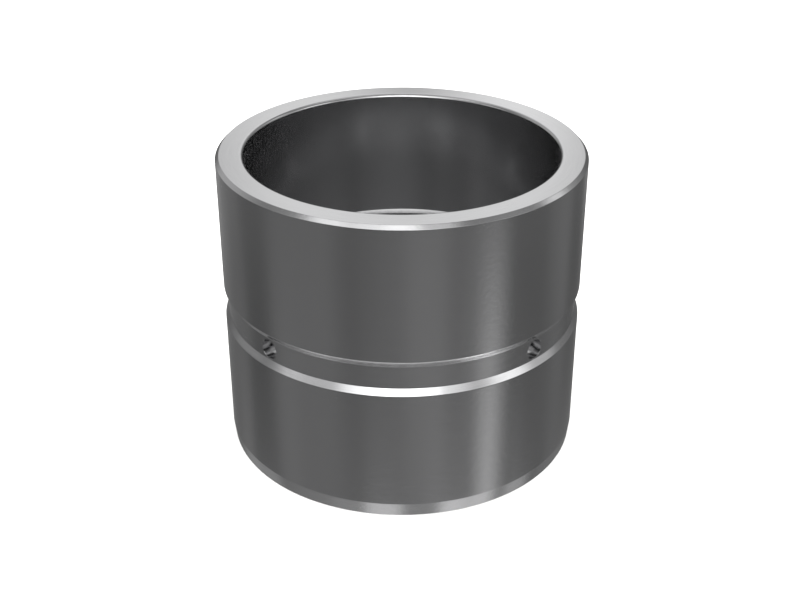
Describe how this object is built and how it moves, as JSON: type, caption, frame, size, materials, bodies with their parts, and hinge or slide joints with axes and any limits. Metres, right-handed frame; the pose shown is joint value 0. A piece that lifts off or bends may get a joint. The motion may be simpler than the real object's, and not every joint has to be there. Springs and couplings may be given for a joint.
{
  "type": "sleeve bearing",
  "caption": "Plain cylindrical steel sleeve bearing with a grease groove round the inside and the outside, joined by radial oil holes.",
  "frame": {"origin": "centre of the bottom end face, which is the end with the long slim lead-in taper; the sleeve stands on it", "axes": "+Z along the bore axis towards the chamfered end; the oil holes lie at 45 degrees between X and Y"},
  "size_m": [0.1, 0.1, 0.085],
  "materials": {
    "sleeve": "fine turned and ground steel, semi-bright"
  },
  "bodies": {
    "root": {"sleeve": "sleeve"}
  },
  "joints": []
}
